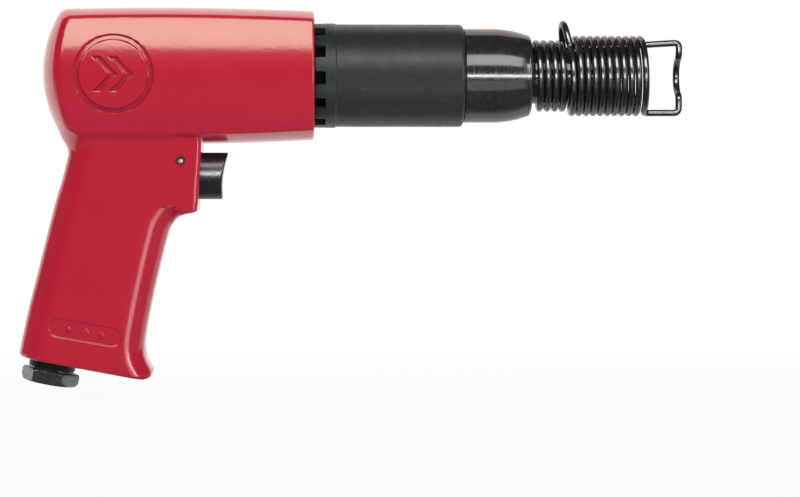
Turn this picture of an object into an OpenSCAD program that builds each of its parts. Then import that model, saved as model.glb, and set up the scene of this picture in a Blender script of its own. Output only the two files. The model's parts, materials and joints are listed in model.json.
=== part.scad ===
// Pneumatic air hammer with a pistol grip, a valve-type hammer barrel and a
// beehive retainer spring with a wire bail.
// Frame: millimetres, +Z up, +X forward along the hammer axis. The origin is the
// mouth of the shank bore, in the middle of the barrel's nose face.

/* [Barrel] */
// Diameter of a chisel shank
shank_d = 10.2; // [9.8:0.1:10.6]
// Length of the shank bore
shank_bore_len = 35; // [32:1:38]
// Piston bore of the barrel
bore_d = 19.05; // [18.6:0.05:19.4]
// Travel of the piston
piston_stroke = 88.5; // [84:0.5:88.5]
// Diameter of the bare front of the barrel
barrel_d = 35.8; // [35.4:0.1:36.4]
// Diameter of the barrel under the sleeve and in the housing
barrel_body_d = 33; // [32.6:0.1:33.4]
// Diameter of the nose that the retainer screws onto
nose_d = 22.2; // [21.8:0.1:22.4]

/* [Sleeve] */
// Outer diameter of the exhaust sleeve
sleeve_d = 39; // [38.6:0.1:39.6]
// Number of exhaust notches at the sleeve's rear end
notch_count = 12; // [8:1:16]

/* [Housing] */
// Height of the housing at its crown
housing_h = 51.2; // [50:0.2:53]
// Width of the housing
housing_w = 47; // [45:0.5:49]
// Width of the grip
grip_w = 32; // [30:0.5:34]

/* [Trigger] */
// How far the trigger travels
trigger_travel = 4; // [3:0.25:4]
// Width of the trigger at its middle
trigger_w = 15; // [14:0.5:15.5]

/* [Retainer] */
// Diameter of the retainer's wire
wire_d = 2.4; // [2:0.1:2.5]
// Straight part of the wire bail in front of the coil
bail_reach = 14; // [12:0.2:18]

/* [Air inlet] */
// Tilt of the inlet from vertical, in degrees
inlet_tilt = 10.8; // [9:0.2:12]
// Size of the inlet's hexagon across its flats
inlet_hex = 19.05; // [18.5:0.05:20]

/* [Hidden] */
$fn = 72;

red = [0.71, 0.16, 0.23];
black_rubber = [0.18, 0.20, 0.20];
black_steel = [0.26, 0.26, 0.26];
bright_steel = [0.7, 0.7, 0.72];
brass = [0.78, 0.62, 0.32];

fit = 0.04;          // gap between two parts that don't move on each other
run = 0.05;          // gap between a sliding part and its guide
seal_gap = 0.02;     // gap between a seal and the wall it touches
hull_fn = 32;        // facets of a hull's own round children

// Stations along the hammer axis, from the nose to the back.
front_x = -108.1;                         // front face of the housing
rear_x = -210.5;                          // back of the housing
sleeve_front_x = -51.2;                   // front end of the sleeve
shoulder_x = -25.6;                       // front face of the barrel's shoulder
chamber_x = -shank_bore_len;              // front end of the piston chamber
chamber_len = 127;
barrel_rear_x = chamber_x - chamber_len;  // back face of the barrel
valve_split_x = barrel_rear_x - 6;        // joint between the two valve blocks
valve_rear_x = barrel_rear_x - 21;        // back of the rear valve block
gasket_t = 1;
bore_end_x = valve_rear_x - gasket_t - 2 * fit;
air_chamber_x = rear_x + 10.5;            // back wall of the live-air chamber
housing_bore_r = barrel_body_d / 2 + 0.05;

// Trigger and throttle valve, on an axis parallel to the hammer axis.
throttle_z = -38.2;
trigger_h = 17.8;
trigger_front_x = -141.1;
trigger_rear_x = -163.5;
handle_face_x = -151;
pocket_rear_x = trigger_rear_x - trigger_travel - 0.5;
bushing_len = 12.9;
seat_x = pocket_rear_x - bushing_len;     // seat of the throttle valve
delivery_x = seat_x + 5;                  // duct from the throttle to the valve
throttle_end_x = -196.5;                  // blind end of the throttle bore
bushing_r = 7;
stem_r = 2.5;
washer_t = 1.6;
nut_t = 2.2;
pin_x = -158.3;
pin_z = -32.4;
pin_r = 1.5;

// Air inlet, in a tilted frame whose +Z runs up into the grip.
inlet_x = -209.1;
inlet_z = -116.9;
hex_t = 5;
grip_face = 8.7;                          // height of the grip's bottom face
inlet_shank_r = 7.9;
inlet_shank_end = 22;
inlet_port_r = 5.7;
inlet_port_len = 13;
passage_r = 4.5;
passage_len = 78.3;

// Retainer coil, wound round the hammer axis.
small_r = 12.45;                          // wire centre in the coil on the nose
large_r = 14.15;                          // wire centre in the coil for the collar
small_pitch = 2.9;
large_pitch = 2.74;
tang_angle = 32;                          // half angle that the tang takes up
tang_h = 7.4;                             // how far the tang stands out
tang_lean = 1.6;                          // how far it leans back
tang_x0 = -11.9;                          // where the tang leaves the small coil
tang_x1 = -10.5;                          // where it joins the large coil
coil_steps = 24;                          // path points in one turn
bail_z = 14.1;                            // outer leg of the bail
bail_inner_z = 11.7;                      // inner leg, inside the last coil
saddle_r = 7;                             // half circle round the chisel shank

// ---------- shared shapes ----------

module along_x(x) {
    translate([x, 0, 0]) rotate([0, 90, 0]) children();
}

// A cylinder on the hammer axis from x0 forward to x1.
module bar_x(r, x0, x1) {
    along_x(x0) cylinder(r = r, h = x1 - x0);
}

// A solid turned round the hammer axis from points [radius, x].
module turned(points) {
    rotate([0, 90, 0]) rotate_extrude() polygon(points);
}

module at_throttle() {
    translate([0, 0, throttle_z]) children();
}

module at_inlet() {
    translate([inlet_x, 0, inlet_z]) rotate([0, inlet_tilt, 0]) children();
}

// A cylinder across the tool, centred on the middle plane.
module bar_y(r, x, z, len) {
    translate([x, 0, z]) rotate([90, 0, 0]) cylinder(r = r, h = len, center = true);
}

// An outline in the side view, as wide as w across the tool.
module side_plate(points, w) {
    rotate([90, 0, 0]) linear_extrude(w, center = true) polygon(points);
}

module rounded_rect(w, h, r) {
    square([w - 2 * r, h], center = true);
    square([w, h - 2 * r], center = true);
    for (sx = [-1, 1], sy = [-1, 1])
        translate([sx * (w / 2 - r), sy * (h / 2 - r)]) circle(r);
}

// An O-ring on the hammer axis.
module o_ring_x(r, section_r, x) {
    along_x(x) rotate_extrude() translate([r, 0]) circle(section_r);
}

// Points on a shallow curve from a to b that stands sag off the chord, to its left.
function bow(a, b, sag, n = 10) =
    let (d = b - a, side = [-d[1], d[0]] / norm(d))
    [for (i = [0 : n]) let (t = i / n) a + d * t + side * sag * 4 * t * (1 - t)];

// Points on an arc about c from angle a0 to a1.
function arc(c, r, a0, a1, n = 8) =
    [for (i = [0 : n]) let (a = a0 + (a1 - a0) * i / n) c + r * [cos(a), sin(a)]];

// ---------- housing ----------

crown = 1.4;         // how much higher the housing is at its middle than at its ends
side_r = 50;         // radius of the casing's bulged sides
cap_r = 49;          // radius of its top and bottom, seen along the hammer axis
dome_r = 44;         // radius of its back
end_h = housing_h / 2 - crown;

function casing_outline() = concat(
    bow([front_x, end_h], [rear_x - 1, end_h], -crown),
    [[rear_x - 1, -15], [rear_x + 8.6, -end_h - 0.4]],
    bow([rear_x + 12, -end_h - 0.9], [front_x, -end_h], -crown));

// Back of the casing, a dome of radius dome_r, and a tube in front of it.
function dome_profile() = concat(
    [for (t = [0 : 5 : 60]) [dome_r * sin(t), rear_x + dome_r * (1 - cos(t))]],
    [[dome_r, rear_x + dome_r], [dome_r, front_x], [0, front_x]]);

module casing() {
    x0 = rear_x - 1;
    intersection() {
        side_plate(casing_outline(), housing_w + 10);
        translate([0, side_r - housing_w / 2, 0]) bar_x(side_r, x0, front_x);
        translate([0, housing_w / 2 - side_r, 0]) bar_x(side_r, x0, front_x);
        translate([0, 0, housing_h / 2 - cap_r]) bar_x(cap_r, x0, front_x);
        translate([0, 0, cap_r - housing_h / 2]) bar_x(cap_r, x0, front_x);
        turned(dome_profile());
    }
}

// A thin slab of the grip: its centre, length along X, width, corner radius and tilt.
module grip_slice(x, z, len, w, r = 9, tilt = 0) {
    translate([x, 0, z]) rotate([0, tilt, 0])
        linear_extrude(0.5, center = true) rounded_rect(len, w, r, $fn = hull_fn);
}

module grip() {
    // Upper grip, from inside the casing down past the trigger block.
    hull() {
        grip_slice(-179.5, -20, 43, grip_w);
        grip_slice(-182.6, -52, 46.5, grip_w);
        grip_slice(-189, -76, 48, grip_w);
    }
    // Lower grip, ending in the plane of the inlet.
    hull() {
        grip_slice(-189, -76, 48, grip_w);
        grip_slice(-195.9, -107.6, 47.4, grip_w, 9, inlet_tilt);
    }
    // Block round the trigger pocket.
    hull() {
        grip_slice(-171, -20, 41.6, grip_w, 3);
        grip_slice(-171, -47, 38.4, grip_w, 3);
        grip_slice(-173, -51.5, 40, grip_w, 3);
    }
    // Toe at the bottom of the front strap.
    hull() {
        grip_slice(-189, -103, 36, grip_w, 9, inlet_tilt);
        grip_slice(-188.6, -111.2, 40, grip_w, 9, inlet_tilt);
    }
}

emblem_x = -182.8;
emblem_z = -0.1;
emblem_r = 15;

// A shallow ring-shaped groove on each side of the casing.
module emblem_grooves() {
    groove_w = 2.4;
    groove_floor = housing_w / 2 - 0.6;
    for (side = [-1, 1])
        translate([emblem_x, side * (groove_floor + 5), emblem_z]) rotate([90, 0, 0])
            linear_extrude(10, center = true) difference() {
                circle(emblem_r);
                circle(emblem_r - groove_w);
            }
}

// Section of the trigger, seen along the hammer axis: bulged sides, flat ends.
module trigger_section(gap = 0) {
    bulge_r = 10.5;
    intersection() {
        square([trigger_h + 2 * gap, trigger_w + 8], center = true);
        translate([0, bulge_r - trigger_w / 2]) circle(bulge_r + gap);
        translate([0, trigger_w / 2 - bulge_r]) circle(bulge_r + gap);
    }
}

module housing_bores() {
    bar_x(housing_bore_r, bore_end_x, front_x + 1);
    bar_x(12, air_chamber_x, bore_end_x + 1);
    at_throttle() {
        along_x(pocket_rear_x) linear_extrude(handle_face_x - pocket_rear_x + 5)
            trigger_section(0.15);
        bar_x(bushing_r + fit, seat_x - fit, pocket_rear_x + 1);
        bar_x(6, throttle_end_x, seat_x);
    }
    // Air duct from the throttle up to the valve.
    translate([delivery_x, 0, throttle_z]) cylinder(r = 2.6, h = -throttle_z - 10);
    bar_y(pin_r + seal_gap, pin_x, pin_z, housing_w);
    at_inlet() {
        translate([0, 0, -5]) cylinder(r = inlet_shank_r + fit, h = inlet_shank_end + 5 + fit);
        cylinder(r = passage_r, h = passage_len);
    }
    // The grip's flat bottom face.
    at_inlet() translate([-40, -40, grip_face - 40]) cube([90, 80, 40]);
}

module housing() {
    color(red) difference() {
        union() {
            casing();
            grip();
        }
        housing_bores();
        emblem_grooves();
    }
}

// ---------- barrel and sleeve ----------

thread_pitch = 1.5;
thread_count = 14;
thread_x0 = barrel_rear_x + 2;

module barrel() {
    body_r = barrel_body_d / 2;
    front_r = barrel_d / 2;
    nose_r = nose_d / 2;
    profile = concat(
        [[bore_d / 2, barrel_rear_x], [body_r - 0.8, barrel_rear_x],
         [body_r, barrel_rear_x + 0.8], [body_r, sleeve_front_x + fit],
         [front_r - 0.4, sleeve_front_x + fit], [front_r, sleeve_front_x + 0.4]],
        // Rounded front shoulder: a long gentle curve, then a tight one.
        bow([front_r, -40], [15.6, -26.8], -0.57, 6),
        arc([14.4, -26.8], 1.2, 0, 90, 4),
        [[nose_r, shoulder_x], [nose_r, -1], [nose_r - 1, 0], [shank_bore_r, 0],
         [shank_bore_r, chamber_x], [bore_d / 2 - 1, chamber_x],
         [bore_d / 2, chamber_x - 1]]);
    color(black_steel) difference() {
        turned(profile);
        // Thread that screws into the housing.
        for (i = [0 : thread_count - 1])
            groove(body_r, 0.6, thread_x0 + i * thread_pitch);
        // Rolled grooves that the retainer's small coil beds in.
        for (i = [0 : 7])
            groove(nose_r, 0.5, shoulder_x + 2.2 + i * small_pitch);
        // Seat of the O-ring.
        turned([[body_r - 2, -113.2], [body_r + 1, -113.2],
                [body_r + 1, -111], [body_r - 2, -111]]);
        // Exhaust ports, into the ring-shaped space under the sleeve.
        for (a = [0 : 45 : 315])
            rotate([a, 0, 0]) translate([-94, 0, 0]) cylinder(r = 2, h = 30);
        // Return-air ducts along the wall, with their cross holes at the front.
        for (a = [30, 150, 270]) rotate([a, 0, 0]) {
            translate([0, 0, 13]) bar_x(1.2, barrel_rear_x - 1, -42);
            translate([-43.2, 0, 0]) cylinder(r = 1.2, h = 13);
        }
    }
}

shank_bore_r = shank_d / 2 + 0.05;

// A V groove round the hammer axis, cut into a wall of radius r.
module groove(r, depth, x) {
    turned([[r - depth, x], [r + 0.2, x - depth - 0.2], [r + 0.2, x + depth + 0.2]]);
}

module exhaust_sleeve() {
    r = sleeve_d / 2;
    collar_r = r + 0.35;
    rear_x0 = front_x + fit;
    inner_r = barrel_body_d / 2 + fit;
    space_r = r - 1.9;
    lip = 1.8;
    notch_len = 4.2;
    profile = concat(
        [[space_r, rear_x0], [collar_r - 0.3, rear_x0], [collar_r, rear_x0 + 0.3],
         [collar_r, rear_x0 + 8], [r, rear_x0 + 8.4]],
        arc([r - lip, sleeve_front_x - lip], lip, 0, 90, 8),
        [[inner_r, sleeve_front_x], [inner_r, -72], [space_r, -74]]);
    color(black_rubber) difference() {
        turned(profile);
        for (i = [0 : notch_count - 1])
            rotate([4 + i * 360 / notch_count, 0, 0])
                translate([rear_x0 - 1, -r - 3, -2.55]) cube([notch_len + 1, r, 5.1]);
    }
}

// ---------- retainer spring ----------

// A point at an angle from the top, turning towards -Y.
function on_coil(x, r, a) = [x, -r * sin(a), r * cos(a)];

function smooth(t) = let (c = min(1, max(0, t))) c * c * (3 - 2 * c);

small_turns = 4.25;
large_turns = 10.5;
end_angle = 360 * large_turns;

function small_coil() = [for (i = [0 : coil_steps * small_turns - 1])
    let (a = -tang_angle - 360 * small_turns + i * 360 / coil_steps)
    on_coil(tang_x0 + (a + tang_angle) * small_pitch / 360, small_r, a)];

function tang() = [for (i = [0 : 10])
    let (t = i / 10, a = tang_angle * (2 * t - 1), rise = sin(180 * t))
    on_coil(tang_x0 + (tang_x1 - tang_x0) * t - tang_lean * rise,
        small_r + tang_h * pow(rise, 1.2), a)];

function large_coil() = [for (i = [1 : coil_steps * large_turns - 4])
    let (a = tang_angle + i * 360 / coil_steps, grow = smooth((a - tang_angle) / 130))
    on_coil(tang_x1 + (a - tang_angle) * large_pitch / 360,
        small_r + (large_r - small_r) * grow, a)];

// Replaces each inner corner of a path by a curve that starts f away from it.
function rounded(p, f, n = 4) = [for (i = [0 : len(p) - 1])
    each (i == 0 || i == len(p) - 1) ? [p[i]] :
        let (a = p[i] + f * (p[i - 1] - p[i]) / norm(p[i - 1] - p[i]),
             b = p[i] + f * (p[i + 1] - p[i]) / norm(p[i + 1] - p[i]))
        [for (k = [0 : n]) let (t = k / n)
            (1 - t) * (1 - t) * a + 2 * t * (1 - t) * p[i] + t * t * b]];

coil_front_x = tang_x1 + large_pitch * (end_angle - tang_angle) / 360;
bail_x = coil_front_x + bail_reach;

function bail() = concat(
    rounded([on_coil(coil_front_x - 0.1, large_r, end_angle - 20),
        [coil_front_x + 0.4, 0, -bail_z], [bail_x, 0, -bail_z],
        [bail_x, 0, -saddle_r - 0.6], [bail_x, 2.4, -saddle_r + 0.2]], 2),
    [for (a = [-60 : 20 : 60]) [bail_x, saddle_r * cos(a), saddle_r * sin(a)]],
    rounded([[bail_x, 2.4, saddle_r - 0.2], [bail_x, 0, saddle_r + 0.6],
        [bail_x, 0, bail_inner_z + 1.1], [coil_front_x + 1, 0, bail_inner_z + 0.3],
        [coil_front_x - 4, 0, bail_inner_z - 0.2]], 2));

function unit(v) = v / norm(v);

// Directions across a path, each one the last turned as little as possible.
function across(p) =
    [for (k = 0, v = frame_at(p, 0, [1, 0, 0]); k < len(p); k = k + 1,
        v = k < len(p) ? frame_at(p, k, v) : v) v];

function heading(p, k) = unit(p[min(k + 1, len(p) - 1)] - p[max(k - 1, 0)]);

function frame_at(p, k, last) = let (t = heading(p, k)) unit(last - (last * t) * t);

// A round wire of radius r along a path, with flat ends.
module wire(p, r, sides = 6) {
    side = across(p);
    n = len(p);
    points = [for (k = [0 : n - 1]) let (t = heading(p, k), u = side[k], v = cross(t, u))
        for (j = [0 : sides - 1]) let (a = 360 * (j + 0.5) / sides)
            p[k] + r * (cos(a) * u + sin(a) * v)];
    walls = [for (k = [0 : n - 2], j = [0 : sides - 1]) let (m = (j + 1) % sides)
        each [[k * sides + j, (k + 1) * sides + j, (k + 1) * sides + m],
              [k * sides + j, (k + 1) * sides + m, k * sides + m]]];
    first = [for (j = [0 : sides - 1]) j];
    last = [for (j = [sides - 1 : -1 : 0]) (n - 1) * sides + j];
    polyhedron(points, concat(walls, [first, last]));
}

module retainer_spring() {
    color(black_steel)
        wire(concat(small_coil(), tang(), large_coil(), bail()), wire_d / 2);
}

// ---------- hammer action ----------

piston_len = chamber_len - 0.2 - piston_stroke;

module piston() {
    r = bore_d / 2 - 0.025;
    x0 = barrel_rear_x + 0.1;
    x1 = x0 + piston_len;
    striker_r = 6.5;
    color(bright_steel) turned([[0, x0], [r - 1, x0], [r, x0 + 1],
        [r, x0 + 11], [r - 0.8, x0 + 11.8], [r - 0.8, x0 + 16], [r, x0 + 16.8],
        [r, x1 - 8], [r - 1, x1 - 7], [striker_r + 0.6, x1 - 6], [striker_r, x1 - 5],
        [striker_r, x1 - 1], [striker_r - 1, x1], [0, x1]]);
}

disc_r = 9;
disc_t = 1.2;
disc_play = 1;
dowel_r = 1.25;
dowel_ring_r = 12.5;

module valve_block_front() {
    x1 = barrel_rear_x - fit;
    color(bright_steel) difference() {
        bar_x(housing_bore_r - fit, valve_split_x, x1);
        bar_x(4.2, valve_split_x - 1, x1 + 1);
        // Ports that the disc opens and shuts.
        for (a = [0 : 60 : 300]) rotate([a, 0, 0]) translate([0, 0, 7.3])
            bar_x(0.9, valve_split_x - 1, x1 + 1);
        // Holes that line up with the barrel's return ducts.
        for (a = [30, 150, 270]) rotate([a, 0, 0]) translate([0, 0, 13])
            bar_x(1.2, valve_split_x - 1, x1 + 1);
        dowel_holes();
    }
}

module valve_block_rear() {
    r = housing_bore_r - fit;
    x0 = valve_rear_x;
    x1 = valve_split_x - fit;
    cavity_x = x1 - disc_t - disc_play - 0.1;
    color(bright_steel) difference() {
        bar_x(r, x0, x1);
        bar_x(disc_r + 0.1, cavity_x, x1 + 1);
        bar_x(4, x0 - 1, cavity_x + 1);
        // Groove that gathers the live air, and its ports to the live-air chamber.
        turned([[r - 2.5, delivery_x - 3], [r + 1, delivery_x - 3],
                [r + 1, delivery_x + 3], [r - 2.5, delivery_x + 3]]);
        for (a = [30 : 60 : 330]) rotate([a, 0, 0]) translate([0, 0, 11])
            bar_x(1.4, x0 - 1, delivery_x);
        for (a = [30 : 60 : 330]) rotate([a, 0, 0])
            translate([delivery_x, 0, 0]) cylinder(r = 1.4, h = r - 2);
        dowel_holes();
    }
}

module valve_disc() {
    x1 = valve_split_x - fit - 0.05;
    color(bright_steel) difference() {
        bar_x(disc_r, x1 - disc_t, x1);
        bar_x(3.5, x1 - disc_t - 1, x1 + 1);
    }
}

module dowel_holes() {
    for (a = [90, 210]) rotate([a, 0, 0]) translate([0, 0, dowel_ring_r])
        bar_x(dowel_r + seal_gap, valve_split_x - 5, barrel_rear_x + 1);
}

module valve_dowels() {
    color(bright_steel) for (a = [90, 210]) rotate([a, 0, 0])
        translate([0, 0, dowel_ring_r])
            bar_x(dowel_r, valve_split_x - 4.9, barrel_rear_x - 0.2);
}

module valve_gasket() {
    color(black_rubber) difference() {
        bar_x(housing_bore_r - fit, bore_end_x + fit, bore_end_x + fit + gasket_t);
        bar_x(12.4, bore_end_x, bore_end_x + 2);
    }
}

module barrel_o_ring() {
    section_r = 0.98;
    color(black_rubber) o_ring_x(housing_bore_r - seal_gap - section_r, section_r, -112.1);
}

// ---------- trigger and throttle ----------

slot_len = 2 * pin_r + trigger_travel;

function trigger_outline() = let (top = trigger_h / 2, low = -trigger_h / 2) concat(
    [[trigger_rear_x, low], [trigger_rear_x, top]],
    arc([trigger_front_x - 0.8, top - 0.8], 0.8, 90, 0, 4),
    bow([trigger_front_x - 0.2, top - 2], [trigger_front_x - 1.9, low + 2], -0.7, 8),
    arc([trigger_front_x - 2.7, low + 0.8], 0.8, 0, -90, 4));

module trigger() {
    slot_x0 = pin_x - pin_r - 0.05;
    color(black_rubber) at_throttle() difference() {
        intersection() {
            side_plate(trigger_outline(), trigger_w + 2);
            along_x(trigger_rear_x - 1) linear_extrude(30) trigger_section();
        }
        // Slot that the pin holds the trigger by.
        translate([slot_x0, -10, pin_z - throttle_z - pin_r - 0.05])
            cube([slot_len + 0.15, 20, 2 * pin_r + 0.1]);
    }
}

module trigger_pin() {
    pin_len = grip_w - 2;
    color(bright_steel) difference() {
        bar_y(pin_r, pin_x, pin_z, pin_len);
        bar_y(0.8, pin_x, pin_z, pin_len + 2);
        // The slit that lets the pin spring shut in its hole.
        translate([pin_x - 0.25, -20, pin_z]) cube([0.5, 40, 3]);
    }
}

module throttle_bushing() {
    x0 = seat_x;
    x1 = pocket_rear_x - fit;
    color(brass) at_throttle() difference() {
        bar_x(bushing_r, x0, x1);
        bar_x(stem_r + run, x0 - 1, x1 + 1);
        bar_x(4, x0 - 1, x0 + 7.5);
        // Ring-shaped space and cross holes that pass the air to the duct.
        turned([[5.4, delivery_x - 2.6], [bushing_r + 1, delivery_x - 2.6],
                [bushing_r + 1, delivery_x + 2.6], [5.4, delivery_x + 2.6]]);
        for (a = [0, 90]) translate([delivery_x, 0, 0]) rotate([a, 0, 0])
            cylinder(r = 1.6, h = 20, center = true);
        // Seat of the outer O-ring.
        turned([[5.6, x1 - 3.4], [bushing_r + 1, x1 - 3.4],
                [bushing_r + 1, x1 - 1.4], [5.6, x1 - 1.4]]);
        // Seat of the stem's O-ring, open towards the trigger.
        bar_x(4.1, x1 - 1.9, x1 + 1);
    }
}

module bushing_o_ring() {
    section_r = 0.68;
    color(black_rubber) at_throttle()
        o_ring_x(bushing_r - section_r, section_r, pocket_rear_x - fit - 2.4);
}

module stem_o_ring() {
    section_r = 0.76;
    color(black_rubber) at_throttle()
        o_ring_x(stem_r + seal_gap + section_r, section_r, pocket_rear_x - 1.1);
}

module throttle_stem() {
    x_tip = trigger_rear_x - 0.05;
    flange_x = seat_x - washer_t - 0.05;
    x_tail = flange_x - nut_t - 3.4;
    color(bright_steel) at_throttle() union() {
        bar_x(stem_r - 0.7, x_tail, seat_x + 8);
        bar_x(stem_r, seat_x + 7, x_tip - 0.5);
        along_x(x_tip - 0.5) cylinder(r1 = stem_r, r2 = stem_r - 0.5, h = 0.5);
    }
}

module throttle_washer() {
    color(black_rubber) at_throttle() difference() {
        bar_x(5, seat_x - washer_t, seat_x - 0.05);
        bar_x(stem_r - 0.7 + seal_gap, seat_x - washer_t - 1, seat_x);
    }
}

module throttle_nut() {
    x1 = seat_x - washer_t - 0.02;
    color(brass) at_throttle() difference() {
        along_x(x1 - nut_t) cylinder(r = 4.6, h = nut_t, $fn = 6);
        bar_x(stem_r - 0.7 + seal_gap, x1 - nut_t - 1, x1 + 1);
    }
}

spring_wire_r = 0.4;
spring_r = 3.4;
spring_turns = 5;

module throttle_spring() {
    x0 = throttle_end_x + spring_wire_r + 0.15;
    x1 = seat_x - washer_t - nut_t - spring_wire_r - 0.25;
    steps = 20;
    path = [for (i = [0 : spring_turns * steps]) let (t = i / (spring_turns * steps))
        on_coil(x0 + (x1 - x0) * t, spring_r, 360 * spring_turns * t)];
    color(bright_steel) at_throttle() wire(path, spring_wire_r);
}

// ---------- air inlet ----------

module inlet_bushing() {
    corner_r = inlet_hex / 2 / cos(30);
    hex_turn = -2.4;   // where the hexagon came to rest when it was screwed in
    chamfer = 1.1;
    groove_z = [for (i = [0 : 6]) grip_face + 2 + 1.6 * i];
    color(black_steel) at_inlet() difference() {
        union() {
            intersection() {
                rotate([0, 0, hex_turn]) cylinder(r = corner_r, h = hex_t, $fn = 6);
                cylinder(r1 = corner_r - 1.2, r2 = corner_r + 3.2, h = hex_t);
                cylinder(r1 = corner_r + 2.8, r2 = corner_r - 0.5, h = hex_t);
            }
            cylinder(r = inlet_shank_r, h = inlet_shank_end);
            // Collar above the hexagon.
            cylinder(r = 8.5, h = hex_t + 0.9);
        }
        translate([0, 0, -1]) cylinder(r = inlet_port_r, h = inlet_port_len + 1);
        translate([0, 0, -0.01]) cylinder(r1 = inlet_port_r + chamfer, r2 = inlet_port_r, h = chamfer);
        cylinder(r = 4.6, h = 15);
        translate([0, 0, 14]) cylinder(r = 5.4, h = 20);
        // Thread that screws into the grip.
        for (z = groove_z) translate([0, 0, z]) rotate_extrude()
            polygon([[inlet_shank_r - 0.6, 0], [inlet_shank_r + 0.2, -0.8],
                     [inlet_shank_r + 0.2, 0.8]]);
    }
}

module inlet_seal() {
    color(black_rubber) at_inlet() translate([0, 0, hex_t + 0.9 + fit]) difference() {
        cylinder(r = 8.8, h = grip_face - hex_t - 0.9 - 2 * fit);
        translate([0, 0, -1]) cylinder(r = inlet_shank_r + seal_gap, h = 5);
    }
}

module inlet_strainer() {
    r = 5.35;
    wall = 0.5;
    h = 7.8;
    hole_r = 0.6;
    color(brass) at_inlet() translate([0, 0, 14 + fit]) difference() {
        cylinder(r = r, h = h);
        translate([0, 0, -1]) cylinder(r = r - wall, h = h + 1 - wall);
        for (row = [0 : 2], i = [0 : 3])
            translate([0, 0, 2 + 1.9 * row]) rotate([90, 0, 45 * i + 22.5 * (row % 2)])
                cylinder(r = hole_r, h = 20, center = true, $fn = 8);
        for (i = [0 : 5]) rotate([0, 0, 60 * i]) translate([2.8, 0, h - 2])
            cylinder(r = hole_r, h = 4, $fn = 8);
    }
}

housing();
barrel();
exhaust_sleeve();
retainer_spring();
piston();
valve_block_front();
valve_disc();
valve_block_rear();
valve_dowels();
valve_gasket();
barrel_o_ring();
trigger();
trigger_pin();
throttle_bushing();
bushing_o_ring();
stem_o_ring();
throttle_stem();
throttle_washer();
throttle_nut();
throttle_spring();
inlet_bushing();
inlet_seal();
inlet_strainer();
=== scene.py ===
"""Pneumatic air hammer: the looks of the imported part, a white studio and the camera.

All positions are in the part's frame: the origin at the mouth of the shank bore, +X the way
the hammer strikes and +Z up. Shapes are worked out in millimetres and turned into metres when
a mesh is made.
"""

import json
import math

import bmesh
import bpy
import numpy as np
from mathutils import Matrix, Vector


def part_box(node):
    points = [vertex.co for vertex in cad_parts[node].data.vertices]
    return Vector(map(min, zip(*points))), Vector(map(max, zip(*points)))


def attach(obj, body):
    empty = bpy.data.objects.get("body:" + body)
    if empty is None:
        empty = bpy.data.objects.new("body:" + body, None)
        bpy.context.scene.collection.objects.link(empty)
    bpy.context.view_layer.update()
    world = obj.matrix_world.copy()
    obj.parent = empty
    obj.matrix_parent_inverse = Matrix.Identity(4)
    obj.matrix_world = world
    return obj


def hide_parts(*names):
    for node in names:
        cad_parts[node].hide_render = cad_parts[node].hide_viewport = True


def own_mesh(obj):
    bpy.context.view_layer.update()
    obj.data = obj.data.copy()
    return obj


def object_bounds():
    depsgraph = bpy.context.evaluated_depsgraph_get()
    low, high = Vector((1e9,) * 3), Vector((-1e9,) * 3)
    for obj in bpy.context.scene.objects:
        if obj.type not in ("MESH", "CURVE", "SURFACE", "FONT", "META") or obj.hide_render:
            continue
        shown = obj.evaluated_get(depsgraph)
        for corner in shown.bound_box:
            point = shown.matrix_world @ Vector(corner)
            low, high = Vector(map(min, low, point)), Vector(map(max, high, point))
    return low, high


MM = 0.001

# Shared places, in millimetres.
SLEEVE_FRONT = -51.2
THROTTLE_Z = -38.2
PIN_X, PIN_Z = -158.3, -32.4

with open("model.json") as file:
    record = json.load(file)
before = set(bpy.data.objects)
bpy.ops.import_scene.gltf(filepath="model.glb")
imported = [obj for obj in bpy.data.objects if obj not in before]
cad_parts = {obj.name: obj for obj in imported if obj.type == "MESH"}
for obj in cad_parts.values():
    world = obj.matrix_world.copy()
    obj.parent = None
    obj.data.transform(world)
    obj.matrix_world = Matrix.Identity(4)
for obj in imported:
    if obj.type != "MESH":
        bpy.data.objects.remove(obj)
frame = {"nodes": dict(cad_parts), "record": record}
box_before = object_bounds()


def cad_box(node):
    """A CAD node's lowest and highest corner, in millimetres."""
    lo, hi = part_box(node)
    return np.array(lo) / MM, np.array(hi) / MM


# ---------------------------------------------------------------- distance functions
# A solid is a function from points (N, 3) to a distance that is negative inside.


def length(*parts):
    return np.sqrt(sum(p * p for p in parts))


def smooth(t):
    t = np.clip(t, 0, 1)
    return t * t * (3 - 2 * t)


def mix(a, b, t):
    return a + (b - a) * t


def round_and(a, b, r):
    """The overlap of two solids, its edge rounded to radius r."""
    return np.minimum(-r, np.maximum(a, b)) + length(np.maximum(r + a, 0), np.maximum(r + b, 0))


def round_or(a, b, r):
    """Two solids joined by a fillet of radius r."""
    return np.maximum(r, np.minimum(a, b)) - length(np.maximum(r - a, 0), np.maximum(r - b, 0))


def rod_x(p, r, x0, x1, z=0.0):
    """A round bar from x0 to x1, parallel to the hammer axis at height z."""
    return np.maximum(length(p[:, 1], p[:, 2] - z) - r, np.maximum(x0 - p[:, 0], p[:, 0] - x1))


def outline_distance(x, z, points):
    """Signed distance in the side view to a closed outline."""
    a = np.array(points, float)
    b = np.roll(a, -1, 0)
    best = np.full(x.shape, np.inf)
    inside = np.zeros(x.shape, bool)
    for (ax, az), (bx, bz) in zip(a, b):
        ex, ez = bx - ax, bz - az
        px, pz = x - ax, z - az
        t = np.clip((px * ex + pz * ez) / (ex * ex + ez * ez), 0, 1)
        best = np.minimum(best, (px - ex * t) ** 2 + (pz - ez * t) ** 2)
        crosses = (az > z) != (bz > z)
        with np.errstate(divide="ignore", invalid="ignore"):
            inside ^= crosses & (px < pz * ex / ez)
    return np.where(inside, -1, 1) * np.sqrt(best)


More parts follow.
